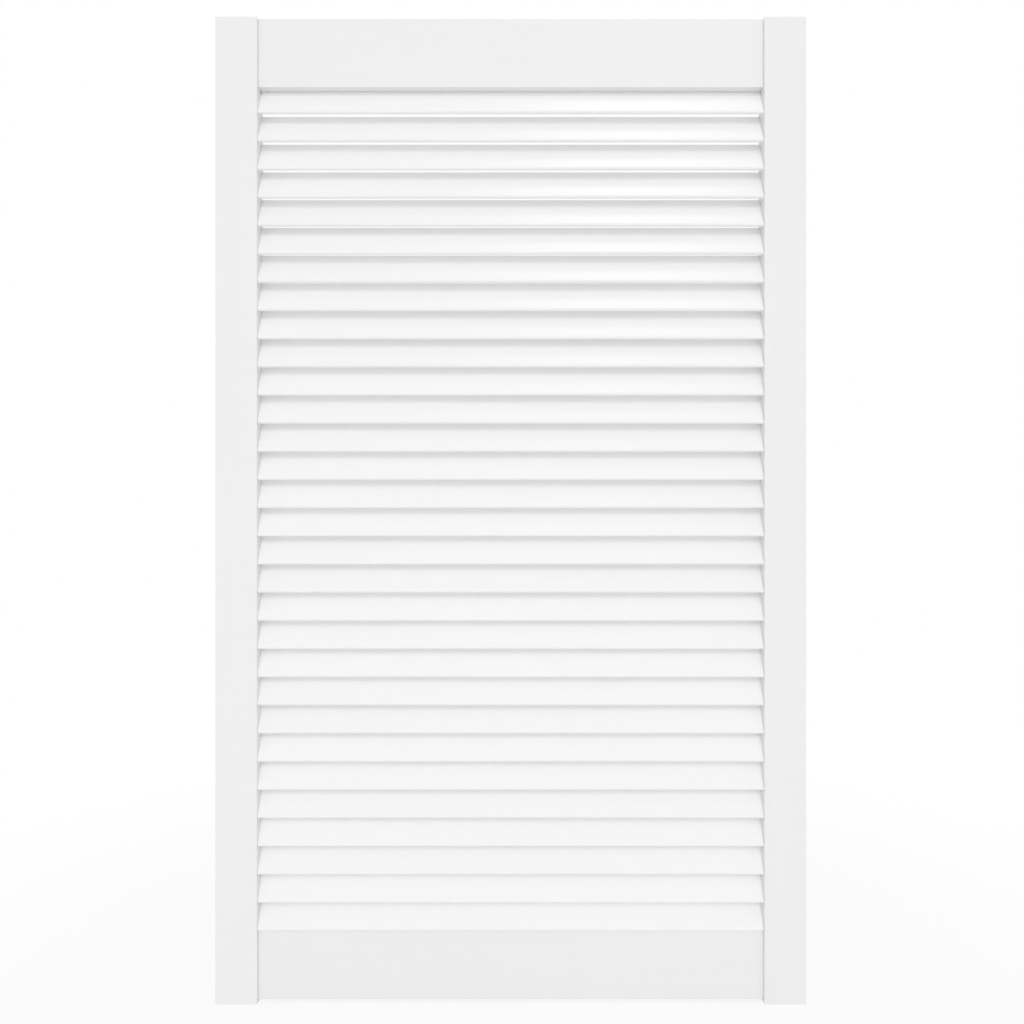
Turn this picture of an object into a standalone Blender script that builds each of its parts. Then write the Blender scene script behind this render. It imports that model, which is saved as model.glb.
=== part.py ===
"""Louvred cabinet door: two stiles, two rails, fixed slats and hidden dowels.

Metres, +Z up. The door stands on its foot at Z = 0 with its width along X, its thickness along Y
and its front towards -Y. The origin is the middle of the foot. Every slat leans back from its low
front edge to its high rear edge, and its ends are housed in the stiles.
"""

import math

import bmesh
import bpy
from mathutils import Matrix

# Stiles, the two full-height uprights
DOOR_WIDTH = 0.594
DOOR_HEIGHT = 0.993
STILE_WIDTH = 0.042
STILE_THICKNESS = 0.021
STILE_OUTER_ARRIS = 0.0008
STILE_INNER_ARRIS = 0.0006

# Rails, the two boards between the stiles, set back from both faces
RAIL_HEIGHT = 0.069
RAIL_THICKNESS = 0.0125
RAIL_ARRIS = 0.0005
BOTTOM_RAIL_LIFT = 0.003

# Slats, evenly spaced from the bottom rail to just behind the foot of the top rail
SLAT_COUNT = 30
SLAT_ANGLE = math.radians(62.5)
SLAT_THICKNESS = 0.0045
SLAT_EDGE_RADIUS = 0.002
SLAT_SETBACK = 0.0011
TOP_SLAT_TUCK = 0.0042
HOUSING_DEPTH = 0.008

# Dowels, two in each joint between a rail and a stile
DOWEL_DIAMETER = 0.006
DOWEL_LENGTH = 0.040
DOWEL_CHAMFER = 0.0006
DOWEL_EDGE_DISTANCE = 0.017

# Gap left between pieces that touch, and how far a cutter runs past the face it enters
CLEARANCE = 0.0003
CUTTER_OVERSHOOT = 0.004

# A slat's edge stays flat over at least this share of its thickness
LEAST_FLAT_SHARE = 0.1

# Facets on the round shapes
ARRIS_SEGMENTS = 2
SLAT_EDGE_SEGMENTS = 3
DOWEL_SIDES = 16

# Finishes
WHITE_PAINT = (0.85, 0.85, 0.85)
SLAT_PAINT = (0.9, 0.9, 0.9)
BARE_BEECH = (0.62, 0.42, 0.26)
PAINT_ROUGHNESS = 0.42
BEECH_ROUGHNESS = 0.7

# Places and sizes that follow from the values above
OPENING_HALF = DOOR_WIDTH / 2 - STILE_WIDTH
TOP_RAIL_FOOT = DOOR_HEIGHT - RAIL_HEIGHT
BOTTOM_RAIL_HEAD = BOTTOM_RAIL_LIFT + RAIL_HEIGHT
SLAT_LEAN = SLAT_ANGLE - math.pi / 2
SLAT_LENGTH = 2 * (OPENING_HALF + HOUSING_DEPTH)
SLAT_DEPTH = STILE_THICKNESS - 2 * SLAT_SETBACK
SLAT_ROUND = min(SLAT_EDGE_RADIUS, SLAT_THICKNESS * (1 - LEAST_FLAT_SHARE) / 2)
SLAT_FLAT_HALF = SLAT_THICKNESS / 2 - SLAT_ROUND

# Hands: which way along X each side lies
SIDES = {"left": -1, "right": 1}


def slat_width():
    """Give the width at which a leaning slat with rounded edges spans SLAT_DEPTH."""
    run = SLAT_DEPTH / 2 - SLAT_ROUND - SLAT_FLAT_HALF * math.sin(SLAT_ANGLE)
    return 2 * (SLAT_ROUND + run / math.cos(SLAT_ANGLE))


def slat_heights():
    """Give the height of each slat's centre, from the top slat down."""
    reach = slat_width() / 2 - SLAT_ROUND
    half_rise = SLAT_ROUND + reach * math.sin(SLAT_ANGLE) + SLAT_FLAT_HALF * math.cos(SLAT_ANGLE)
    top = TOP_RAIL_FOOT + TOP_SLAT_TUCK - half_rise
    bottom = BOTTOM_RAIL_HEAD + CLEARANCE + half_rise
    pitch = (top - bottom) / (SLAT_COUNT - 1)
    return [top - pitch * index for index in range(SLAT_COUNT)]


def dowel_centres():
    """Give each dowel's name and its centre, on the line where its rail meets its stile."""
    feet = {"top": TOP_RAIL_FOOT, "bottom": BOTTOM_RAIL_LIFT}
    offsets = {"lower": DOWEL_EDGE_DISTANCE, "upper": RAIL_HEIGHT - DOWEL_EDGE_DISTANCE}
    return {
        f"dowel_{rail}_{hand}_{place}": (side * OPENING_HALF, 0, foot + offset)
        for rail, foot in feet.items()
        for hand, side in SIDES.items()
        for place, offset in offsets.items()
    }


def clear_scene():
    """Remove the scene's objects and make the collections for parts and cutters."""
    for old in list(bpy.data.objects):
        bpy.data.objects.remove(old, do_unlink=True)
    made = []
    for name in ("louvred_cabinet_door", "cutters"):
        collection = bpy.data.collections.new(name)
        bpy.context.scene.collection.children.link(collection)
        made.append(collection)
    return made


def finish(name, colour, roughness):
    """Make a plain material in one colour."""
    material = bpy.data.materials.new(name)
    material.use_nodes = True
    shader = material.node_tree.nodes["Principled BSDF"]
    shader.inputs["Base Color"].default_value = (*colour, 1.0)
    shader.inputs["Roughness"].default_value = roughness
    shader.inputs["Metallic"].default_value = 0.0
    return material


def boxes(name, size, places):
    """Make one mesh with a box of the given size at each place, a matrix."""
    shape = bmesh.new()
    for place in places:
        bmesh.ops.create_cube(shape, size=1.0, matrix=place @ Matrix.Diagonal((*size, 1.0)))
    mesh = bpy.data.meshes.new(name)
    shape.to_mesh(mesh)
    shape.free()
    return mesh


def rods(name, radius, length, places):
    """Make one mesh with a cylinder along X at each place, a matrix."""
    along_x = Matrix.Rotation(math.pi / 2, 4, "Y")
    shape = bmesh.new()
    for place in places:
        bmesh.ops.create_cone(
            shape,
            cap_ends=True,
            segments=DOWEL_SIDES,
            radius1=radius,
            radius2=radius,
            depth=length,
            matrix=place @ along_x,
        )
    mesh = bpy.data.meshes.new(name)
    shape.to_mesh(mesh)
    shape.free()
    return mesh


def lies_along(direction, axis):
    """Say whether a direction lies nearer to an axis (0 for X, 1 for Y, 2 for Z) than across it."""
    return abs(direction[axis]) > math.cos(math.pi / 4)


def weigh_edges(mesh, weight_of):
    """Set the share of a bevel's width that each edge takes, from its direction and its middle."""
    weights = mesh.attributes.new("bevel_weight_edge", "FLOAT", "EDGE")
    for edge in mesh.edges:
        start, end = (mesh.vertices[index].co for index in edge.vertices)
        weights.data[edge.index].value = weight_of((end - start).normalized(), (start + end) / 2)


def weigh_long_edges(mesh):
    """Weigh the edges that run along X in full and the rest not at all."""
    weigh_edges(mesh, lambda direction, middle: float(lies_along(direction, 0)))


def place_object(name, mesh, collection, location=(0, 0, 0)):
    """Put a mesh in the scene as a named object."""
    thing = bpy.data.objects.new(name, mesh)
    thing.location = location
    collection.objects.link(thing)
    return thing


def round_edges(thing, width, segments):
    """Round the weighed edges of an object."""
    bevel = thing.modifiers.new("rounded edges", "BEVEL")
    bevel.limit_method = "WEIGHT"
    bevel.width = width
    bevel.segments = segments


def make_cutter(name, mesh, collection):
    """Put a mesh in the scene as a hidden cutter."""
    cutter = place_object(name, mesh, collection)
    cutter.hide_render = True
    cutter.display_type = "WIRE"
    return cutter


def cut(thing, cutter):
    """Cut an object with a cutter."""
    boolean = thing.modifiers.new(cutter.name, "BOOLEAN")
    boolean.operation = "DIFFERENCE"
    boolean.solver = "EXACT"
    boolean.object = cutter


def slat_cutter(name, centre_x, length, heights, collection):
    """Make slat-shaped cutters, a clearance larger than the slats all round."""
    lean = Matrix.Rotation(SLAT_LEAN, 4, "X")
    places = [Matrix.Translation((centre_x, 0, height)) @ lean for height in heights]
    grown = 2 * CLEARANCE
    mesh = boxes(name, (length, SLAT_THICKNESS + grown, slat_width() + grown), places)
    weigh_long_edges(mesh)
    cutter = make_cutter(name, mesh, collection)
    round_edges(cutter, SLAT_ROUND + CLEARANCE, SLAT_EDGE_SEGMENTS)
    return cutter


def dowel_cutter(name, collection):
    """Make the drill for every dowel hole, a clearance larger than the dowels all round."""
    places = [Matrix.Translation(centre) for centre in dowel_centres().values()]
    mesh = rods(name, DOWEL_DIAMETER / 2 + CLEARANCE, DOWEL_LENGTH + 2 * CLEARANCE, places)
    return make_cutter(name, mesh, collection)


def make_stile(name, side, material, parts, cutters):
    """Make one stile: an upright with eased arrises and a housing for each slat's end."""
    mesh = boxes(name, (STILE_WIDTH, STILE_THICKNESS, DOOR_HEIGHT), [Matrix.Identity(4)])
    mesh.materials.append(material)
    widest = max(STILE_OUTER_ARRIS, STILE_INNER_ARRIS)

    def ease(direction, middle):
        inner = side * middle.x < 0 and lies_along(direction, 2)
        return (STILE_INNER_ARRIS if inner else STILE_OUTER_ARRIS) / widest

    weigh_edges(mesh, ease)
    centre = (side * (DOOR_WIDTH - STILE_WIDTH) / 2, 0, DOOR_HEIGHT / 2)
    stile = place_object(name, mesh, parts, centre)
    round_edges(stile, widest, ARRIS_SEGMENTS)
    reach = HOUSING_DEPTH + CLEARANCE
    cutter_middle = side * (OPENING_HALF + (reach - CUTTER_OVERSHOOT) / 2)
    cutter_length = reach + CUTTER_OVERSHOOT
    cut(stile, slat_cutter(name + "_housings", cutter_middle, cutter_length, slat_heights(), cutters))
    return stile


def make_rail(name, foot, material, parts):
    """Make one rail: a board with eased long arrises that butts against both stiles."""
    size = (2 * (OPENING_HALF - CLEARANCE), RAIL_THICKNESS, RAIL_HEIGHT)
    mesh = boxes(name, size, [Matrix.Identity(4)])
    mesh.materials.append(material)
    weigh_long_edges(mesh)
    rail = place_object(name, mesh, parts, (0, 0, foot + RAIL_HEIGHT / 2))
    round_edges(rail, RAIL_ARRIS, ARRIS_SEGMENTS)
    return rail


def make_slats(material, parts):
    """Make the slats, boards with rounded long edges, numbered from the top down."""
    mesh = boxes("slat", (SLAT_LENGTH, SLAT_THICKNESS, slat_width()), [Matrix.Identity(4)])
    mesh.materials.append(material)
    weigh_long_edges(mesh)
    for number, height in enumerate(slat_heights(), start=1):
        slat = place_object(f"slat_{number:02d}", mesh, parts, (0, 0, height))
        slat.rotation_euler = (SLAT_LEAN, 0, 0)
        round_edges(slat, SLAT_ROUND, SLAT_EDGE_SEGMENTS)


def make_dowels(material, parts):
    """Make the dowels, pins with chamfered ends, half in a rail and half in a stile."""
    mesh = rods("dowel", DOWEL_DIAMETER / 2, DOWEL_LENGTH, [Matrix.Identity(4)])
    mesh.materials.append(material)
    weigh_edges(mesh, lambda direction, middle: float(not lies_along(direction, 0)))
    for name, centre in dowel_centres().items():
        dowel = place_object(name, mesh, parts, centre)
        round_edges(dowel, DOWEL_CHAMFER, 1)


def main():
    """Build the door."""
    parts, cutters = clear_scene()
    frame_paint = finish("white_painted_frame", WHITE_PAINT, PAINT_ROUGHNESS)
    slat_paint = finish("white_painted_slat", SLAT_PAINT, PAINT_ROUGHNESS)
    beech = finish("bare_beech", BARE_BEECH, BEECH_ROUGHNESS)

    stiles = [
        make_stile(f"stile_{hand}", side, frame_paint, parts, cutters)
        for hand, side in SIDES.items()
    ]
    rail_bottom = make_rail("rail_bottom", BOTTOM_RAIL_LIFT, frame_paint, parts)
    rail_top = make_rail("rail_top", TOP_RAIL_FOOT, frame_paint, parts)
    make_slats(slat_paint, parts)
    make_dowels(beech, parts)

    drill = dowel_cutter("dowel_holes", cutters)
    for board in (*stiles, rail_bottom, rail_top):
        cut(board, drill)
    cut(rail_top, slat_cutter("top_slat_seat", 0, SLAT_LENGTH, slat_heights()[:1], cutters))


main()
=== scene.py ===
"""Louvred cabinet door: its painted stiles, rails and slats, its beech dowels and a white studio.

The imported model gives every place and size, in metres with +Z up and the door's front towards -Y.
Each operator works out the surfaces of one group of pieces as numpy arrays and puts them round the
solids that they stand for.
"""

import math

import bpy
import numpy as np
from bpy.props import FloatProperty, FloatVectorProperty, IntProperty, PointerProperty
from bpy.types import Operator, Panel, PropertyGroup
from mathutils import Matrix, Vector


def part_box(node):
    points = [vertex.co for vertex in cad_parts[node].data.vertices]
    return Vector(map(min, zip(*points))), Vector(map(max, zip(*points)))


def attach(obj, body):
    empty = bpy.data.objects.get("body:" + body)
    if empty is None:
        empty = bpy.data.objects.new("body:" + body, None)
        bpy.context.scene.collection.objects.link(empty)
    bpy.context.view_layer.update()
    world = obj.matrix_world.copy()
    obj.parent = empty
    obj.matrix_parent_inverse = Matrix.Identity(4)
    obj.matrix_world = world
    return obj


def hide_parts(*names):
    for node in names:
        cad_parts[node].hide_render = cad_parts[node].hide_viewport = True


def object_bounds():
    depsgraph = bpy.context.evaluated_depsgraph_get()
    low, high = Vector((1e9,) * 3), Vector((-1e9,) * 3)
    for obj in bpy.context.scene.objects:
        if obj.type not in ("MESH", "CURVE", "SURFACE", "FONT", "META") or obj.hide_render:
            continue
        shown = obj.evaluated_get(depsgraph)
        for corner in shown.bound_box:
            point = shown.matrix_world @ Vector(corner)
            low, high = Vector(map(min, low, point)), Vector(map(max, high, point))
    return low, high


bl_info = {
    "name": "Louvred cabinet door",
    "version": (1, 0, 0),
    "blender": (4, 5, 0),
    "location": "View3D > Sidebar > Louvred door",
    "description": "Builds the painted pieces of a louvred cabinet door on its packed frame",
    "category": "Object",
}

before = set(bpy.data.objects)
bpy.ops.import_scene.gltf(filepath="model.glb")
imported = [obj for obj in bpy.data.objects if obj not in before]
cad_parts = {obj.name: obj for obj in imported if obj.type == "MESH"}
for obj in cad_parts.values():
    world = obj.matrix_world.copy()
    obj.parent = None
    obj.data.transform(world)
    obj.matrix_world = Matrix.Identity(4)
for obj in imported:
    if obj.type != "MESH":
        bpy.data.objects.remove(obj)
CAD_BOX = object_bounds()

# Which way along X each hand of the door lies
SIDES = {"left": -1, "right": 1}
SLAT_NODES = sorted(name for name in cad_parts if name.startswith("slat_"))
DOWEL_NODES = sorted(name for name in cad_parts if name.startswith("dowel_"))

# Points round an arris, the flat beside it that keeps the shading of the face even, and the least
# radius that still keeps the points of an arc apart
ARRIS_STEPS = 6
SHOULDER = 0.0003
LEAST_RADIUS = 0.00005

# Faces that meet at more than this angle are shaded with a sharp edge between them
SHARP_ANGLE = math.radians(40)

# A housing or dowel hole takes this many grid cells of the stile's inner face, across it and up it
CELLS_ACROSS = 8
CELLS_UP = 4

# Lengths into which a slat or rail is cut, so that its faces don't run too long and thin
LENGTH_STEPS = 24

# Rows of points along the fluted length of a dowel, and points round each flute
DOWEL_ROWS = 9
FLUTE_STEPS = 8

# Patterns in the paint and in bare beech: waves to the metre across the grain and along it, octaves
# of finer waves, and the strength of each octave against the one before
BROAD_TONE = (9.0, 2.5, 2.0, 0.5)
GRAIN = (420.0, 6.0, 4.0, 0.6)
STREAKS = (130.0, 3.5, 3.0, 0.5)
STIPPLE = (900.0, 900.0, 2.0, 0.5)
BEECH_STREAKS = (900.0, 25.0, 4.0, 0.6)
BEECH_FLECKS = (2200.0, 260.0, 2.0, 0.5)

# What the broad tone, the streaks and the piece's own tone give to the paint's mottle, the range of
# their sum that it spans, and the shares of the paint's colour that it goes between
BROAD_SHARE = 0.5
STREAK_SHARE = 0.35
PIECE_SHARE = 0.15
MOTTLE_RANGE = (0.25, 0.75)
DARKEST_COAT = 0.985
LIGHTEST_COAT = 1.012

# What the stipple adds to the streaks to make patches of thin paint, and the range of their sum
PATCH_STIPPLE = 0.3
PATCH_RANGE = (0.45, 0.85)

# How far the paint's roughness starts below its mean, and what each pattern adds to it
ROUGHNESS_DROP = 0.06
STREAK_ROUGHNESS = 0.07
STIPPLE_ROUGHNESS = 0.05
THIN_ROUGHNESS = 0.08
PAINT_IOR = 1.5

# Ranges of the streaks and flecks in bare beech, how dark they make it, and its relief and roughness
BEECH_STREAK_RANGE = (0.3, 0.75)
BEECH_STREAK_SHADE = 0.6
FLECK_RANGE = (0.58, 0.72)
FLECK_SHADE = 0.8
BEECH_RELIEF = 0.00004
BEECH_ROUGHNESS = 0.62
FLECK_ROUGHNESS = 0.2

# Strength at which a light shows plain white, and the width of the camera's sensor in millimetres
PLAIN_WHITE = 1.0
SENSOR_WIDTH = 36


class DoorSizes(PropertyGroup):
    """Sizes of the door's edges and joints"""

    stile_outer_arris: FloatProperty(
        name="Stile outer arris",
        description="Radius on the outer long edges and the ends of a stile",
        default=0.0008,
        unit="LENGTH",
        precision=4,
    )
    stile_inner_arris: FloatProperty(
        name="Stile inner arris",
        description="Radius on the long edges of a stile that face the slats",
        default=0.0006,
        unit="LENGTH",
        precision=4,
    )
    rail_arris: FloatProperty(
        name="Rail arris",
        description="Radius on the long edges of a rail",
        default=0.0005,
        unit="LENGTH",
        precision=4,
    )
    slat_angle: FloatProperty(
        name="Slat angle",
        description="Angle of a slat above the level, rising towards the back",
        default=math.radians(62.5),
        subtype="ANGLE",
    )
    slat_thickness: FloatProperty(
        name="Slat thickness",
        description="Thickness of a slat, square to its face",
        default=0.0045,
        unit="LENGTH",
        precision=4,
    )
    slat_edge_radius: FloatProperty(
        name="Slat edge radius",
        description="Radius on the long edges of a slat",
        default=0.002,
        unit="LENGTH",
        precision=4,
    )
    clearance: FloatProperty(
        name="Clearance",
        description="Gap left round a slat in its housing and a dowel in its hole",
        default=0.0003,
        unit="LENGTH",
        precision=4,
    )
    joint_paint: FloatProperty(
        name="Joint paint",
        description="How far the paint reaches into the gap between a rail and a stile or slat",
        default=0.0002,
        unit="LENGTH",
        precision=5,
    )
    dowel_flutes: IntProperty(
        name="Dowel flutes",
        description="Number of glue grooves along a dowel",
        default=12,
    )
    dowel_flute_depth: FloatProperty(
        name="Dowel flute depth",
        description="Depth of a glue groove in a dowel",
        default=0.00018,
        unit="LENGTH",
        precision=5,
    )
    dowel_chamfer: FloatProperty(
        name="Dowel chamfer",
        description="Width of the chamfer on the ends of a dowel",
        default=0.0006,
        unit="LENGTH",
        precision=4,
    )


class DoorFinish(PropertyGroup):
    """Colours and surface of the paint and the bare wood, with painted shade in the frame's colour"""

    # The frame's paint is darker than the slats', though the door has one white paint all over: painted
    # shade for the less light that the upright stiles and rails get than the up-tilted slats
    shaded_frame_colour: FloatVectorProperty(
        name="Frame paint",
        description="Paint on the stiles and rails",
        default=(0.843, 0.843, 0.843),
        size=3,
        subtype="COLOR",
    )
    slat_colour: FloatVectorProperty(
        name="Slat paint",
        description="Paint on the slats",
        default=(0.905, 0.905, 0.905),
        size=3,
        subtype="COLOR",
    )
    thin_colour: FloatVectorProperty(
        name="Thin paint",
        description="Colour that shows through where paint runs thin over an arris",
        default=(0.74, 0.72, 0.67),
        size=3,
        subtype="COLOR",
    )
    thin_share: FloatProperty(
        name="Thin paint share",
        description="How far the paint on an arris goes towards the thin colour",
        default=0.25,
        subtype="FACTOR",
    )
    paint_roughness: FloatProperty(
        name="Paint roughness",
        description="Mean roughness of the satin paint",
        default=0.42,
        subtype="FACTOR",
    )
    grain_relief: FloatProperty(
        name="Grain relief",
        description="Depth to which the wood's grain shows through the paint",
        default=0.00003,
        unit="LENGTH",
        precision=6,
    )
    roller_relief: FloatProperty(
        name="Roller relief",
        description="Height of the fine stipple that the roller leaves in the paint",
        default=0.000012,
        unit="LENGTH",
        precision=6,
    )
    beech_light: FloatVectorProperty(
        name="Light beech",
        description="Early wood of a dowel",
        default=(0.66, 0.46, 0.29),
        size=3,
        subtype="COLOR",
    )
    beech_dark: FloatVectorProperty(
        name="Dark beech",
        description="Late wood and flecks of a dowel",
        default=(0.42, 0.25, 0.13),
        size=3,
        subtype="COLOR",
    )


class DoorStage(PropertyGroup):
    """The studio round the door"""

    eye_distance: FloatProperty(
        name="Eye distance",
        description="Distance from the camera to the front of the stiles",
        default=0.850,
        unit="LENGTH",
    )
    eye_height: FloatProperty(
        name="Eye height",
        description="Height of the camera above the floor",
        default=0.4965,
        unit="LENGTH",
    )
    lens: FloatProperty(
        name="Lens",
        description=f"Focal length for a sensor {SENSOR_WIDTH} mm wide",
        default=29.733,
        unit="CAMERA",
    )
    shift_across: FloatProperty(
        name="Shift across",
        description="Sideways shift of the picture, as a share of its width",
        default=0.00122,
    )
    shift_up: FloatProperty(
        name="Shift up",
        description="Upward shift of the picture, as a share of its width",
        default=-0.00156,
    )
    key_strength: FloatProperty(
        name="Key strength",
        description="Irradiance of the high front light on a face square to it",
        default=0.60,
    )
    key_height: FloatProperty(
        name="Key height",
        description="Angle of the high front light above the level",
        default=math.radians(32.3),
        subtype="ANGLE",
    )
    key_turn: FloatProperty(
        name="Key turn",
        description="Angle of the high front light to the right of the camera",
        default=math.radians(3),
        subtype="ANGLE",
    )
    key_spread: FloatProperty(
        name="Key spread",
        description="Angle that the high front light fills, which sets how soft its shadows are",
        default=math.radians(28),
        subtype="ANGLE",
    )
    back_strength: FloatProperty(
        name="Back strength",
        description="Irradiance of the light behind the door on a face square to it",
        default=0.31,
    )
    back_height: FloatProperty(
        name="Back height",
        description="Angle of the light behind the door above the level",
        default=math.radians(25),
        subtype="ANGLE",
    )
    back_turn: FloatProperty(
        name="Back turn",
        description="Angle of the light behind the door to the right of the camera",
        default=math.radians(180),
        subtype="ANGLE",
    )
    back_spread: FloatProperty(
        name="Back spread",
        description="Angle that the light behind the door fills",
        default=math.radians(100),
        subtype="ANGLE",
    )
    panel_power: FloatProperty(
        name="Panel power",
        description="Power of the panel before the door, in watts",
        default=5.55,
    )
    panel_width: FloatProperty(
        name="Panel width",
        description="Size of the panel along the door",
        default=1.8,
        unit="LENGTH",
    )
    panel_height: FloatProperty(
        name="Panel height",
        description="Size of the panel up the door",
        default=0.98,
        unit="LENGTH",
    )
    panel_distance: FloatProperty(
        name="Panel distance",
        description="Distance from the middle of the door to the panel, which stands behind the camera",
        default=2.2,
        unit="LENGTH",
    )
    softbox_power: FloatProperty(
        name="Softbox power",
        description="Power of the softbox above the door, in watts",
        default=5.2,
    )
    softbox_width: FloatProperty(
        name="Softbox width",
        description="Size of the softbox along the door",
        default=0.38,
        unit="LENGTH",
    )
    softbox_length: FloatProperty(
        name="Softbox length",
        description="Size of the softbox out from the door",
        default=0.42,
        unit="LENGTH",
    )
    softbox_place: FloatVectorProperty(
        name="Softbox place",
        description="Middle of the softbox",
        default=(0.315, -0.48, 2.3),
        size=3,
        subtype="TRANSLATION",
    )
    softbox_aim: FloatVectorProperty(
        name="Softbox aim",
        description="Point on the slats that the softbox faces",
        default=(0.115, 0.0, 0.818),
        size=3,
        subtype="TRANSLATION",
    )
    fill_strength: FloatProperty(
        name="Fill strength",
        description="Strength of the even light from all round",
        default=0.695,
    )
    floor_colour: FloatVectorProperty(
        name="Floor",
        description="Colour of the studio floor",
        default=(0.95, 0.95, 0.95),
        size=3,
        subtype="COLOR",
    )
    floor_white: FloatProperty(
        name="Floor white",
        description="Share of plain white in what is seen of the floor at the door's foot",
        default=0.8,
        subtype="FACTOR",
    )
    floor_near: FloatProperty(
        name="Floor near",
        description="Distance from the middle of the door at which the floor starts to turn white",
        default=0.35,
        unit="LENGTH",
    )
    floor_far: FloatProperty(
        name="Floor far",
        description="Distance from the middle of the door at which the floor is plain white",
        default=0.95,
        unit="LENGTH",
    )
    floor_reach: FloatProperty(
        name="Floor reach",
        description="Distance from the door to the edge of the floor",
        default=12.0,
        unit="LENGTH",
    )


class Shade:
    """A socket of a node tree that takes part in Python expressions on values."""

    def __init__(self, tree, socket):
        self.tree = tree
        self.socket = socket

    def maths(self, operation, first, second):
        """Add a Math node."""
        return self.tree.node("ShaderNodeMath", {"operation": operation}, {0: first, 1: second})

    def __add__(self, other):
        return self.maths("ADD", self, other)

    def __radd__(self, other):
        return self.maths("ADD", other, self)

    def __sub__(self, other):
        return self.maths("SUBTRACT", self, other)

    def __rsub__(self, other):
        return self.maths("SUBTRACT", other, self)

    def __mul__(self, other):
        return self.maths("MULTIPLY", self, other)

    def __rmul__(self, other):
        return self.maths("MULTIPLY", other, self)

    def __or__(self, other):
        return self.maths("MAXIMUM", self, other)


class ShadeTree:
    """The node tree of a material or world, emptied, with one method that adds any node."""

    def __init__(self, owner):
        owner.use_nodes = True
        self.tree = owner.node_tree
        self.tree.nodes.clear()

    def node(self, kind, settings=None, inputs=None, output=0):
        """Add a node of a kind, apply its settings, fill its sockets and give one of its outputs."""
        made = self.tree.nodes.new(kind)
        for name, value in (settings or {}).items():
            setattr(made, name, value)
        for name, value in (inputs or {}).items():
            if isinstance(value, Shade):
                self.tree.links.new(value.socket, made.inputs[name])
            else:
                made.inputs[name].default_value = value
        if made.outputs:
            return Shade(self, made.outputs[output])
        return None

    def noise(self, place, axis, pattern):
        """Add a noise from 0 to 1 in one of the patterns, with the grain along an axis."""
        across, along, detail, roughness = pattern
        waves = tuple(along if name == axis else across for name in "XYZ")
        stretched = self.node("ShaderNodeMapping", inputs={"Vector": place, "Scale": waves})
        return self.node(
            "ShaderNodeTexNoise",
            inputs={"Vector": stretched, "Scale": 1.0, "Detail": detail, "Roughness": roughness},
            output="Fac",
        )

    def window(self, value, low, high):
        """Carry a value smoothly from 0 at low to 1 at high."""
        return self.node(
            "ShaderNodeMapRange",
            {"interpolation_type": "SMOOTHSTEP"},
            {"Value": value, "From Min": low, "From Max": high},
        )

    def mixed(self, factor, first, second):
        """Mix two colours."""
        colour_a, colour_b, colour_result = 6, 7, 2
        return self.node(
            "ShaderNodeMix",
            {"data_type": "RGBA"},
            {"Factor": factor, colour_a: first, colour_b: second},
            output=colour_result,
        )


def opaque(colour, share=1.0):
    """Give a colour with its alpha, darkened to a share of itself."""
    return (*(channel * share for channel in colour), 1.0)


def satin_paint(name, colour, finish, axis):
    """White satin paint on planed wood whose grain runs along one axis.

    Colour: broad tone and fine streaks each move it by about a hundredth, and on arrises, where the
    piece's edge attribute rises to 1, it goes patchily towards the thin colour. Roughness follows
    the streaks and the stipple. Bump is grain plus roller stipple, in metres.
    """
    material = bpy.data.materials.new(name)
    tree = ShadeTree(material)
    place = tree.node("ShaderNodeTexCoord", output="Object")
    patterns = (BROAD_TONE, GRAIN, STREAKS, STIPPLE)
    broad, grain, streak, stipple = (tree.noise(place, axis, pattern) for pattern in patterns)
    edge = tree.node("ShaderNodeAttribute", {"attribute_name": "edge"}, output="Fac")
    tone = tree.node("ShaderNodeAttribute", {"attribute_name": "tone"}, output="Fac")

    mottle = BROAD_SHARE * broad + STREAK_SHARE * streak + PIECE_SHARE * tone
    shade = tree.window(mottle, *MOTTLE_RANGE)
    coat = tree.mixed(shade, opaque(colour, DARKEST_COAT), opaque(colour, LIGHTEST_COAT))
    patches = tree.window(streak + PATCH_STIPPLE * stipple, *PATCH_RANGE)
    thin = edge * patches * finish.thin_share
    base = tree.mixed(thin, coat, opaque(finish.thin_colour))
    roughness = finish.paint_roughness - ROUGHNESS_DROP + STREAK_ROUGHNESS * streak
    roughness = roughness + STIPPLE_ROUGHNESS * stipple + THIN_ROUGHNESS * thin
    height = finish.grain_relief * grain + finish.roller_relief * stipple
    normal = tree.node("ShaderNodeBump", inputs={"Strength": 1.0, "Distance": 1.0, "Height": height})
    surface = tree.node(
        "ShaderNodeBsdfPrincipled",
        inputs={"Base Color": base, "Roughness": roughness, "Normal": normal, "IOR": PAINT_IOR},
    )
    tree.node("ShaderNodeOutputMaterial", inputs={"Surface": surface})
    return material


def bare_beech(name, finish):
    """Unfinished beech with its grain along X: fine streaks and short dark flecks."""
    material = bpy.data.materials.new(name)
    tree = ShadeTree(material)
    place = tree.node("ShaderNodeTexCoord", output="Object")
    streak = tree.noise(place, "X", BEECH_STREAKS)
    fleck = tree.window(tree.noise(place, "X", BEECH_FLECKS), *FLECK_RANGE)
    shade = tree.window(streak, *BEECH_STREAK_RANGE) * BEECH_STREAK_SHADE | fleck * FLECK_SHADE
    base = tree.mixed(shade, opaque(finish.beech_light), opaque(finish.beech_dark))
    roughness = BEECH_ROUGHNESS + FLECK_ROUGHNESS * fleck
    height = BEECH_RELIEF * (1 - streak)
    normal = tree.node("ShaderNodeBump", inputs={"Strength": 1.0, "Distance": 1.0, "Height": height})
    surface = tree.node(
        "ShaderNodeBsdfPrincipled",
        inputs={"Base Color": base, "Roughness": roughness, "Normal": normal},
    )
    tree.node("ShaderNodeOutputMaterial", inputs={"Surface": surface})
    return material


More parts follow.
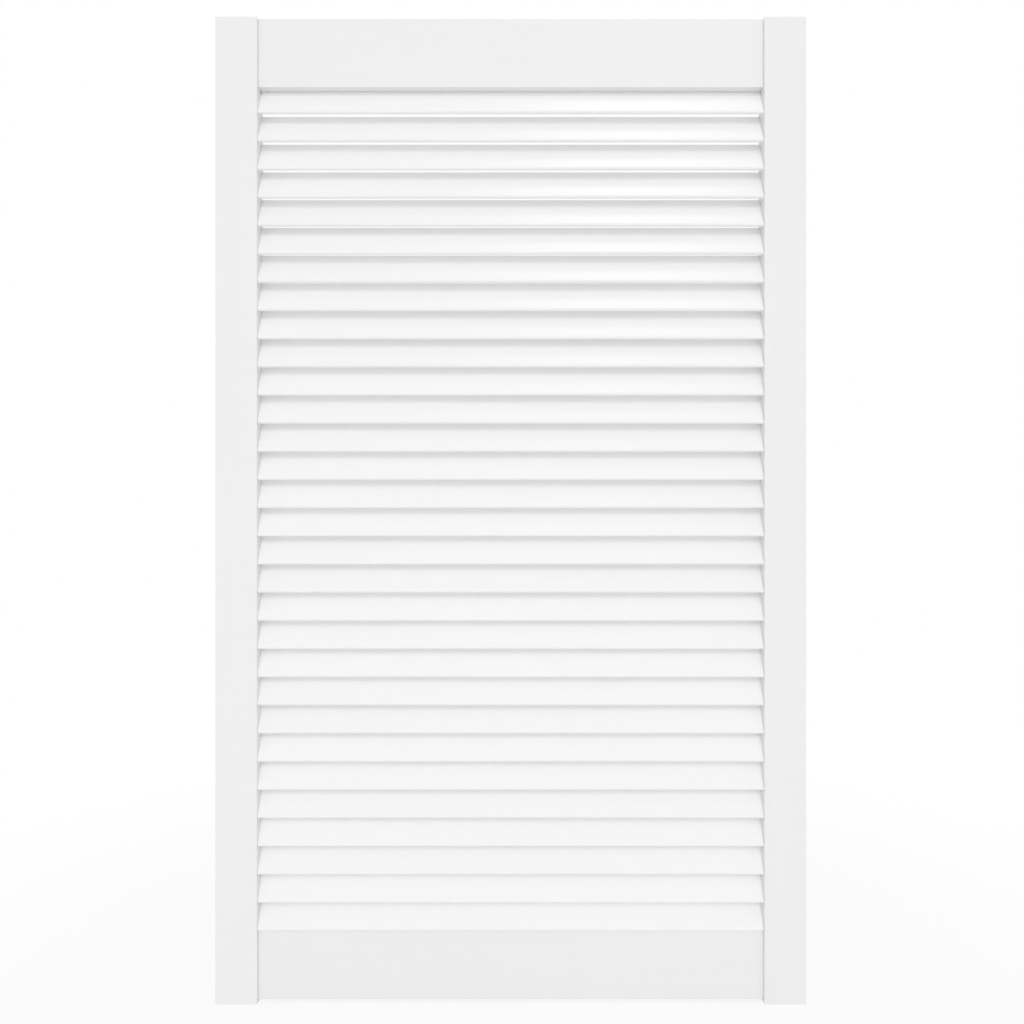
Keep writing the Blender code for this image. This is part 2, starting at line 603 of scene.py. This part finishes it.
def rounded_outline(corners, radii):
    """Round the corners of an outline, given in order against the clock.

    The arc at a corner P of radius r has its centre at P + m r / sin(h), where m is the unit
    bisector of the directions to the neighbours and h half the angle between them. Its points are
    centre + (p sin((1 - s) w) + q sin(s w)) / sin(w) for s from 0 to 1, where p and q run from the
    centre to the ends of the arc and w = pi - 2 h. One shoulder point lies on the straight before
    it and one after. Also gives each point's edge weight, sin(pi s) on an arc and 0 elsewhere.
    """
    corners = np.asarray(corners, float)
    radii = np.asarray(radii, float)[:, None]
    to_last = np.roll(corners, 1, axis=0) - corners
    to_next = np.roll(corners, -1, axis=0) - corners
    to_last /= np.linalg.norm(to_last, axis=1, keepdims=True)
    to_next /= np.linalg.norm(to_next, axis=1, keepdims=True)
    half = np.arccos((to_last * to_next).sum(axis=1, keepdims=True)) / 2
    bisector = to_last + to_next
    bisector /= np.linalg.norm(bisector, axis=1, keepdims=True)
    centres = corners + bisector * radii / np.sin(half)
    starts = corners + to_last * radii / np.tan(half)
    ends = corners + to_next * radii / np.tan(half)
    share = np.linspace(0, 1, ARRIS_STEPS + 1)[None, :, None]
    turn = (np.pi - 2 * half)[:, :, None]
    spread = (starts - centres)[:, None] * np.sin((1 - share) * turn)
    spread = spread + (ends - centres)[:, None] * np.sin(share * turn)
    arcs = centres[:, None] + spread / np.sin(turn)
    before = (starts + to_last * SHOULDER)[:, None]
    after = (ends + to_next * SHOULDER)[:, None]
    points = np.concatenate([before, arcs, after], axis=1).reshape(-1, 2)
    weight = np.concatenate([[0], np.sin(np.pi * share.ravel()), [0]])
    return points, np.tile(weight, len(corners))


def rectangle(low, high):
    """Give a rectangle's corners against the clock from its low corner."""
    return [(low[0], low[1]), (high[0], low[1]), (high[0], high[1]), (low[0], high[1])]


def grid(rows, columns):
    """Number the points of a set of rows."""
    return np.arange(rows * columns).reshape(rows, columns)


def band(first, second):
    """Join loops of numbered points, each to its partner, with one face for each pair of points."""
    return np.stack([first, np.roll(first, -1, axis=-1), np.roll(second, -1, axis=-1), second], axis=-1)


def lids(index):
    """Shut the first and the last of a set of rows."""
    return [index[:1, ::-1], index[-1:]]


def carried_along_x(outline, stations):
    """Carry an outline in Y and Z along X: row i holds (x_i, y_j, z_j) for each outline point j."""
    rows = np.empty((len(stations), len(outline), 3))
    rows[:, :, 0] = stations[:, None]
    rows[:, :, 1:] = outline[None]
    return rows


def add_piece(name, points, faces, edge, tone, material, node):
    """Make a piece from arrays of points and of faces, and let it stand for a node of the frame."""
    mesh = bpy.data.meshes.new(name)
    listed = [face for group in faces for face in group.reshape(-1, group.shape[-1]).tolist()]
    mesh.from_pydata(points.reshape(-1, 3), [], listed)
    mesh.attributes.new("edge", "FLOAT", "POINT").data.foreach_set("value", edge.ravel())
    mesh.attributes.new("tone", "FLOAT", "POINT").data.foreach_set("value", np.full(edge.size, tone))
    mesh.shade_smooth()
    mesh.set_sharp_from_angle(angle=SHARP_ANGLE)
    mesh.materials.append(material)
    piece = bpy.data.objects.new(name, mesh)
    bpy.context.scene.collection.objects.link(piece)
    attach(piece, "root")
    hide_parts(node)
    return piece


def spread_tones(count):
    """Give each of a group of pieces its own place between 0 and 1 by golden-ratio steps."""
    return np.mod(np.arange(1, count + 1) * (math.sqrt(5) - 1) / 2, 1)


def slat_width(sizes):
    """Give the width at which a slat leans across the depth of its box."""
    low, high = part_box(SLAT_NODES[0])
    radius = sizes.slat_edge_radius
    flat = sizes.slat_thickness / 2 - radius
    run = (high.y - low.y) / 2 - radius - flat * math.sin(sizes.slat_angle)
    return 2 * (radius + run / math.cos(sizes.slat_angle))


def leaning(points, angle, height):
    """Turn points across a slat, along its width and square to it, into Y and Z at a height."""
    width, thick = points[..., 0], points[..., 1]
    depth = width * math.cos(angle) - thick * math.sin(angle)
    rise = width * math.sin(angle) + thick * math.cos(angle)
    return np.stack([depth, height + rise], axis=-1)


def middle_height(node):
    """Give the height of a node's middle."""
    low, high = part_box(node)
    return (low.z + high.z) / 2


def right_hand_box(node):
    """Give a node's box as it would lie on the right-hand side of the door."""
    low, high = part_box(node)
    if low.x + high.x < 0:
        return Vector((-high.x, low.y, low.z)), Vector((-low.x, high.y, high.z))
    return low, high


def slot_rim(half_length, radius):
    """Go clockwise round a slot with round ends, from the lower quarter of its back end.

    A point is (c + r cos(a), r sin(a)), where c lies on the slot's middle line. CELLS_ACROSS points
    go along a side, with a quarter of each round end, and CELLS_UP round the rest of an end.
    """
    side = np.radians([-45, -67.5, -90, -90, -90, -90, -90, -112.5])
    centre = half_length * np.array([1, 1, 1, 0.5, 0, -0.5, -1, -1])
    end = np.radians([-135, -157.5, -180, -202.5])
    stop = np.full(CELLS_UP, half_length)
    angle = np.concatenate([side, end, side - np.pi, end - np.pi])
    centre = np.concatenate([centre, -stop, -centre, stop])
    return np.stack([centre + radius * np.cos(angle), radius * np.sin(angle)], axis=-1)


def round_rim(radius):
    """Go clockwise round a hole from the lower quarter of its back, with as many points as a slot."""
    across = np.linspace(-45, -135, CELLS_ACROSS, endpoint=False)
    up = np.linspace(-135, -225, CELLS_UP, endpoint=False)
    angle = np.radians(np.concatenate([across, up, across - 180, up - 180]))
    return radius * np.stack([np.cos(angle), np.sin(angle)], axis=-1)


class LOUVRE_OT_stiles(Operator):
    """Build both stiles, with a housing for each slat and a hole for each dowel"""

    bl_idname = "louvre_door.stiles"
    bl_label = "Stiles"

    def execute(self, context):
        sizes = context.scene.louvre_sizes
        finish = context.scene.louvre_finish
        # The stiles take the darker frame colour: painted shade on their upright faces
        paint = satin_paint("stile_satin_white", finish.shaded_frame_colour, finish, "Z")
        for (hand, side), tone in zip(SIDES.items(), spread_tones(len(SIDES))):
            points, faces, edge = self.surface(sizes, hand)
            if side < 0:
                points[:, 0] *= -1
                faces = [group[..., ::-1] for group in faces]
            node = f"stile_{hand}"
            add_piece(f"painted_{node}", points, faces, edge, tone, paint, node)
        return {"FINISHED"}

    def surface(self, sizes, hand):
        """Work out a stile as if it were the right one, standing at +X.

        A row of points is the outline in X and Y, drawn in by d, at height z + t y. At the ends
        d = r (1 - sin(a)) and z = r (1 - cos(a)) for a quarter turn of a, and t is 0. Between them
        the rows lean with the slats, t = tan(slat angle), and turn level beside the rails. On the
        inner face each block of cells holds one slot or hole, whose rim is joined to the block's
        border and sunk straight into the wood.
        """
        low, high = right_hand_box(f"stile_{hand}")
        blocks, rims, depths = self.recesses(sizes, hand, low)
        quarter = np.linspace(0, np.pi / 2, ARRIS_STEPS + 1)
        inset = sizes.stile_outer_arris * (1 - np.sin(quarter))
        height = sizes.stile_outer_arris * (1 - np.cos(quarter))
        part = np.arange(CELLS_UP) / CELLS_UP
        body = blocks[:-1, None] + (blocks[1:] - blocks[:-1])[:, None] * part[None, :, None]
        body = np.concatenate([body.reshape(-1, 2), blocks[-1:]])
        level = np.concatenate([low.z + height, body[:, 0], high.z - height[::-1]])
        lean = np.concatenate([0 * height, body[:, 1], 0 * height])
        drawn_in = np.concatenate([inset, 0 * body[:, 0], inset[::-1]])
        weight_up = np.concatenate([np.sin(2 * quarter), 0 * body[:, 0], np.sin(2 * quarter)])

        outlines = [self.outline(sizes, low, high, amount) for amount in drawn_in]
        flat = np.stack([points for points, weight in outlines])
        columns = flat.shape[1]
        points = np.empty((len(level), columns, 3))
        points[:, :, :2] = flat
        points[:, :, 2] = level[:, None] + lean[:, None] * flat[:, :, 1]
        edge = np.maximum(outlines[0][1][None], weight_up[:, None])

        index = grid(len(level), columns)
        walls = band(index[:-1], index[1:])
        first_row = len(height)
        first_column = columns - CELLS_ACROSS
        keep = np.ones(walls.shape[:2], bool)
        keep[first_row:first_row + len(rims) * CELLS_UP, first_column:] = False

        across = np.arange(CELLS_ACROSS)
        up = np.arange(CELLS_UP)
        row = np.concatenate([0 * across, up, 0 * across + CELLS_UP, CELLS_UP - up])
        column = np.concatenate([across, 0 * up + CELLS_ACROSS, CELLS_ACROSS - across, 0 * up])
        start = first_row + CELLS_UP * np.arange(len(rims))
        border = index[start[:, None] + row, (first_column + column) % columns]
        mouth = index.size + np.arange(border.size).reshape(border.shape)
        bottom = mouth + border.size
        sunk = [band(border, mouth), band(mouth, bottom), bottom]

        rim_points = np.empty((2, *rims.shape[:2], 3))
        rim_points[0, :, :, 0] = low.x
        rim_points[1, :, :, 0] = low.x + depths[:, None]
        rim_points[:, :, :, 1:] = rims
        points = np.concatenate([points.reshape(-1, 3), rim_points.reshape(-1, 3)])
        edge = np.concatenate([edge.ravel(), np.zeros(2 * border.size)])
        return points, [walls[keep], *lids(index), *sunk], edge

    def outline(self, sizes, low, high, inset):
        """Give a stile's outline in X and Y, drawn in by an inset, its inner face cut into cells."""
        sharp = sizes.stile_inner_arris
        soft = sizes.stile_outer_arris
        radii = np.maximum(np.array([sharp, soft, soft, sharp]) - inset, LEAST_RADIUS)
        corners = rectangle((low.x + inset, low.y + inset), (high.x - inset, high.y - inset))
        points, weight = rounded_outline(corners, radii)
        share = np.arange(1, CELLS_ACROSS)[:, None] / CELLS_ACROSS
        inner_face = points[-1] + (points[0] - points[-1]) * share
        return np.concatenate([points, inner_face]), np.concatenate([weight, np.zeros(len(share))])

    def recesses(self, sizes, hand, low):
        """Give the limits of the blocks up the inner face, as height and lean, and in each block the
        rim of its recess in Y and Z and the depth, from the foot up."""
        slope = math.tan(sizes.slat_angle)
        slat_levels = [middle_height(node) for node in reversed(SLAT_NODES)]
        half_pitch = (slat_levels[-1] - slat_levels[0]) / (len(slat_levels) - 1) / 2
        dowels = [node for node in DOWEL_NODES if f"_{hand}_" in node]
        dowel_levels = sorted(middle_height(node) for node in dowels)
        dowel_low, dowel_high = right_hand_box(dowels[0])
        margin = sizes.stile_outer_arris + SHOULDER
        foot, head = (limit.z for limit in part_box(f"stile_{hand}"))
        blocks = [(foot + margin, 0), ((dowel_levels[0] + dowel_levels[1]) / 2, 0)]
        blocks += [(level - half_pitch, slope) for level in slat_levels]
        blocks += [(slat_levels[-1] + half_pitch, slope)]
        blocks += [((dowel_levels[2] + dowel_levels[3]) / 2, 0), (head - margin, 0)]

        slot_radius = sizes.slat_thickness / 2 + sizes.clearance
        slot = slot_rim(slat_width(sizes) / 2 + sizes.clearance - slot_radius, slot_radius)
        hole = round_rim((dowel_high.z - dowel_low.z) / 2 + sizes.clearance)
        housings = [leaning(slot, sizes.slat_angle, level) for level in slat_levels]
        holes = [hole + np.array([0, level]) for level in dowel_levels]
        rims = np.stack([*holes[:2], *housings, *holes[2:]])
        housing_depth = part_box(SLAT_NODES[0])[1].x - low.x + sizes.clearance
        hole_depth = dowel_high.x - low.x + sizes.clearance
        depths = np.array([hole_depth] * 2 + [housing_depth] * len(housings) + [hole_depth] * 2)
        return np.array(blocks), rims, depths


class LOUVRE_OT_rails(Operator):
    """Build the top and bottom rails, with dowel holes in their ends and a seat for the top slat"""

    bl_idname = "louvre_door.rails"
    bl_label = "Rails"

    def execute(self, context):
        sizes = context.scene.louvre_sizes
        finish = context.scene.louvre_finish
        # The rails take the darker frame colour: painted shade on their upright faces
        paint = satin_paint("rail_satin_white", finish.shaded_frame_colour, finish, "X")
        places = ("top", "bottom")
        for place, tone in zip(places, spread_tones(len(places))):
            node = f"rail_{place}"
            points, faces, edge = self.surface(sizes, place, *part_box(node))
            add_piece(f"painted_{node}", points, faces, edge, tone, paint, node)
        return {"FINISHED"}

    def surface(self, sizes, place, low, high):
        """Work out a rail: its outline in Y and Z, carried along X, with two holes in each end.

        The outline is parted at half its height into a lower loop and an upper one. The rim of a
        hole has a point c + r d for each point of its loop, where c is the middle of the hole, r its
        radius and d the direction from c to that point. It is joined to the loop and sunk straight in.
        """
        dowels = [node for node in DOWEL_NODES if f"_{place}_right_" in node]
        levels = sorted(middle_height(node) for node in dowels)
        dowel_low, dowel_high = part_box(dowels[0])
        radius = (dowel_high.z - dowel_low.z) / 2 + sizes.clearance
        reach = high.x + sizes.joint_paint
        depth = reach - dowel_low.x + sizes.clearance

        outline, weight, loops = self.outline(sizes, place, low, high)
        stations = np.linspace(-reach, reach, LENGTH_STEPS + 1)
        rows = carried_along_x(outline, stations)
        index = grid(*rows.shape[:2])
        points = [rows.reshape(-1, 3)]
        faces = [band(index[:-1], index[1:])]
        for row, turn in ((0, -1), (-1, 1)):
            for loop, level in zip(loops, levels):
                border = loop[::turn]
                away = outline[border] - np.array([0, level])
                rim = np.array([0, level]) + radius * away / np.linalg.norm(away, axis=1, keepdims=True)
                mouth = sum(map(len, points)) + np.arange(len(border))
                bottom = mouth + len(border)
                faces += [band(index[row, border], mouth), band(mouth, bottom), bottom[None]]
                ends = stations[row] - turn * np.array([0, depth])
                points.append(carried_along_x(rim, ends).reshape(-1, 3))
        points = np.concatenate(points)
        edge = np.zeros(len(points))
        edge[:index.size] = np.tile(weight, len(stations))
        return points, faces, edge

    def outline(self, sizes, place, low, high):
        """Give a rail's outline, its edge weights, and the loops of its points below its middle and
        above it."""
        corners = rectangle((low.y, low.z), (high.y, high.z))
        radii = [sizes.rail_arris] * len(corners)
        if place == "top":
            seat = self.slat_seat(sizes, low, high)
            corners[1:2] = seat
            radii[1:2] = [sizes.clearance] * len(seat)
        points, weight = rounded_outline(corners, radii)
        back = len(points) // len(corners) * (len(corners) - 2)
        front = len(points) + 1
        middle = (low.z + high.z) / 2
        points = np.concatenate([points[:back], [(high.y, middle)], points[back:], [(low.y, middle)]])
        weight = np.concatenate([weight[:back], [0], weight[back:], [0]])
        return points, weight, (np.r_[front, 0:back + 1], np.r_[back:front + 1])

    def slat_seat(self, sizes, low, high):
        """Give the corners that stand for the back low one where the uppermost slat tucks in.

        They lie a clearance less the joint paint off the slat: where its front face crosses the
        rail's foot, where that face turns into the rounded edge, and where that crosses the rail's back.
        """
        level = middle_height(SLAT_NODES[0])
        radius = sizes.slat_edge_radius
        flat = np.array([slat_width(sizes), sizes.slat_thickness]) / 2 - radius
        grown = radius + sizes.clearance - sizes.joint_paint
        turn, centre = leaning(flat + np.array([[0, grown], [0, 0]]), sizes.slat_angle, level)
        on_foot = turn[0] - (turn[1] - low.z) / math.tan(sizes.slat_angle)
        on_back = centre[1] + math.sqrt(grown**2 - (high.y - centre[0])**2)
        return [(on_foot, low.z), tuple(turn), (high.y, on_back)]


class LOUVRE_OT_slats(Operator):
    """Build the slats, boards with rounded long edges that lean back from a low front edge"""

    bl_idname = "louvre_door.slats"
    bl_label = "Slats"

    def execute(self, context):
        sizes = context.scene.louvre_sizes
        finish = context.scene.louvre_finish
        paint = satin_paint("slat_satin_white", finish.slat_colour, finish, "X")
        half = np.array([slat_width(sizes), sizes.slat_thickness]) / 2
        section, weight = rounded_outline(rectangle(-half, half), [sizes.slat_edge_radius] * 4)
        for node, tone in zip(SLAT_NODES, spread_tones(len(SLAT_NODES))):
            low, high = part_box(node)
            outline = leaning(section, sizes.slat_angle, middle_height(node))
            stations = np.linspace(low.x, high.x, LENGTH_STEPS + 1)
            points = carried_along_x(outline, stations)
            index = grid(*points.shape[:2])
            faces = [band(index[:-1], index[1:]), *lids(index)]
            edge = np.tile(weight, len(stations))
            add_piece(f"painted_{node}", points, faces, edge, tone, paint, node)
        return {"FINISHED"}


class LOUVRE_OT_dowels(Operator):
    """Build the fluted beech dowels that pin each rail to each stile"""

    bl_idname = "louvre_door.dowels"
    bl_label = "Dowels"

    def execute(self, context):
        sizes = context.scene.louvre_sizes
        wood = bare_beech("bare_beech", context.scene.louvre_finish)
        for node, tone in zip(DOWEL_NODES, spread_tones(len(DOWEL_NODES))):
            points, faces = self.surface(sizes, *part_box(node))
            edge = np.zeros(points.size // 3)
            add_piece(f"fluted_{node}", points, faces, edge, tone, wood, node)
        return {"FINISHED"}

    def surface(self, sizes, low, high):
        """Work out a dowel along X: radius R - f (1 + cos(n a)) / 2 at angle a for n flutes of depth
        f, less the chamfer in the first and last row, where the flutes run out."""
        radius = (high.z - low.z) / 2
        angle = np.linspace(0, 2 * np.pi, FLUTE_STEPS * sizes.dowel_flutes, endpoint=False)
        groove = sizes.dowel_flute_depth * (1 + np.cos(sizes.dowel_flutes * angle)) / 2
        chamfer = sizes.dowel_chamfer
        fluted = np.linspace(low.x + chamfer, high.x - chamfer, DOWEL_ROWS)
        stations = np.concatenate([[low.x], fluted, [high.x]])
        at_end = np.zeros(len(stations))
        at_end[[0, -1]] = 1
        spoke = radius - at_end[:, None] * chamfer - (1 - at_end[:, None]) * groove[None]
        points = np.empty((*spoke.shape, 3))
        points[:, :, 0] = stations[:, None]
        points[:, :, 1] = (low.y + high.y) / 2 + spoke * np.cos(angle)
        points[:, :, 2] = (low.z + high.z) / 2 + spoke * np.sin(angle)
        index = grid(*spoke.shape)
        return points, [band(index[:-1], index[1:]), *lids(index)]


class LOUVRE_OT_stage(Operator):
    """Set up the floor, the lights, the white surround and the camera"""

    bl_idname = "louvre_door.stage"
    bl_label = "Studio"

    def execute(self, context):
        stage = context.scene.louvre_stage
        self.floor(stage)
        self.lamps(stage)
        self.surround(context.scene, stage)
        self.camera(context.scene, stage)
        context.scene.view_settings.view_transform = "Standard"
        return {"FINISHED"}

    def seen(self, tree):
        """Give 1 for a ray from the camera, a mirror or a glass, and 0 for the rest."""
        rays = ("Is Camera Ray", "Is Glossy Ray", "Is Transmission Ray")
        camera, glossy, clear = (tree.node("ShaderNodeLightPath", output=name) for name in rays)
        return camera | glossy | clear

    def floor(self, stage):
        """Lay a square floor, a grid of two points each way, that is near white where it is seen."""
        reach = np.array([-stage.floor_reach, stage.floor_reach])
        points = np.stack([*np.meshgrid(reach, reach), np.zeros((2, 2))], axis=-1).reshape(-1, 3)
        mesh = bpy.data.meshes.new("studio_floor")
        mesh.from_pydata(points, [], [(0, 1, 3, 2)])
        material = bpy.data.materials.new("studio_floor")
        tree = ShadeTree(material)
        place = tree.node("ShaderNodeTexCoord", output="Object")
        away = tree.node("ShaderNodeVectorMath", {"operation": "LENGTH"}, {0: place}, output="Value")
        fade = tree.window(away, stage.floor_near, stage.floor_far)
        share = self.seen(tree) * (stage.floor_white + (1 - stage.floor_white) * fade)
        lit = tree.node("ShaderNodeBsdfDiffuse", inputs={"Color": opaque(stage.floor_colour)})
        white = tree.node("ShaderNodeEmission", inputs={"Strength": PLAIN_WHITE})
        surface = tree.node("ShaderNodeMixShader", inputs={0: share, 1: lit, 2: white})
        tree.node("ShaderNodeOutputMaterial", inputs={"Surface": surface})
        mesh.materials.append(material)
        floor = bpy.data.objects.new("studio_floor", mesh)
        bpy.context.scene.collection.objects.link(floor)

    def lamps(self, stage):
        """Hang far, soft lights before and behind the door, a panel before it and a softbox above it.

        The softbox shows in nothing but the paint's gloss, and the other lights stay out of that.
        """
        far = {
            "key_light": (stage.key_strength, stage.key_height, stage.key_turn, stage.key_spread),
            "back_light": (stage.back_strength, stage.back_height, stage.back_turn, stage.back_spread),
        }
        for name, (strength, height, turn, spread) in far.items():
            light = bpy.data.lights.new(name, "SUN")
            light.energy = strength
            light.angle = spread
            lamp = self.hang(light, (0, 0, 0), (math.pi / 2 - height, 0, turn))
            lamp.visible_glossy = False

        panel = self.area_light("front_panel", stage.panel_power, stage.panel_width, stage.panel_height)
        lamp = self.hang(panel, (0, -stage.panel_distance, stage.eye_height), (math.pi / 2, 0, 0))
        lamp.visible_glossy = False

        softbox = self.area_light(
            "overhead_softbox", stage.softbox_power, stage.softbox_width, stage.softbox_length
        )
        aim = Vector(stage.softbox_aim) - Vector(stage.softbox_place)
        lamp = self.hang(softbox, stage.softbox_place, aim.to_track_quat("-Z", "Y").to_euler())
        lamp.visible_diffuse = False

    def area_light(self, name, power, width, height):
        """Make a light with the shape of a rectangle."""
        light = bpy.data.lights.new(name, "AREA")
        light.shape = "RECTANGLE"
        light.energy = power
        light.size = width
        light.size_y = height
        return light

    def hang(self, light, place, turn):
        """Hang a light that no camera sees."""
        lamp = bpy.data.objects.new(light.name, light)
        lamp.location = place
        lamp.rotation_euler = turn
        lamp.visible_camera = False
        bpy.context.scene.collection.objects.link(lamp)
        return lamp

    def surround(self, scene, stage):
        """Light the door evenly from all round, and show plain white behind it."""
        world = bpy.data.worlds.new("white_studio")
        tree = ShadeTree(world)
        white = opaque((1, 1, 1))
        fill, plain = (
            tree.node("ShaderNodeBackground", inputs={"Color": white, "Strength": strength})
            for strength in (stage.fill_strength, PLAIN_WHITE)
        )
        surface = tree.node("ShaderNodeMixShader", inputs={0: self.seen(tree), 1: fill, 2: plain})
        tree.node("ShaderNodeOutputWorld", inputs={"Surface": surface})
        scene.world = world

    def camera(self, scene, stage):
        """Stand the camera square to the door's front, with its view shifted to frame the door."""
        view = bpy.data.cameras.new("front_camera")
        view.sensor_width = SENSOR_WIDTH
        view.lens = stage.lens
        view.shift_x = stage.shift_across
        view.shift_y = stage.shift_up
        camera = bpy.data.objects.new("front_camera", view)
        camera.location = (0, CAD_BOX[0][1] - stage.eye_distance, stage.eye_height)
        camera.rotation_euler = (math.pi / 2, 0, 0)
        scene.collection.objects.link(camera)
        scene.camera = camera


class LOUVRE_PT_door(Panel):
    """Lists the steps that build the door, and the sizes and colours that they read"""

    bl_idname = "LOUVRE_PT_door"
    bl_label = "Louvred door"
    bl_space_type = "VIEW_3D"
    bl_region_type = "UI"
    bl_category = "Louvred door"

    def draw(self, context):
        for operator in OPERATORS:
            self.layout.operator(operator.bl_idname)
        for name in GROUPS:
            group = getattr(context.scene, name)
            column = self.layout.column()
            for setting in group.__annotations__:
                column.prop(group, setting)


GROUPS = {"louvre_sizes": DoorSizes, "louvre_finish": DoorFinish, "louvre_stage": DoorStage}
OPERATORS = (LOUVRE_OT_stage, LOUVRE_OT_stiles, LOUVRE_OT_rails, LOUVRE_OT_slats, LOUVRE_OT_dowels)
CLASSES = (*GROUPS.values(), *OPERATORS, LOUVRE_PT_door)


def register():
    """Register the classes and give each scene its settings."""
    for kind in CLASSES:
        bpy.utils.register_class(kind)
    for name, kind in GROUPS.items():
        setattr(bpy.types.Scene, name, PointerProperty(type=kind))


def unregister():
    """Take the settings and the classes away again."""
    for name in GROUPS:
        delattr(bpy.types.Scene, name)
    for kind in reversed(CLASSES):
        bpy.utils.unregister_class(kind)


def main():
    """Build the door and its studio."""
    register()
    bpy.ops.louvre_door.stage()
    bpy.ops.louvre_door.stiles()
    bpy.ops.louvre_door.rails()
    bpy.ops.louvre_door.slats()
    bpy.ops.louvre_door.dowels()


if __name__ == "__main__":
    main()
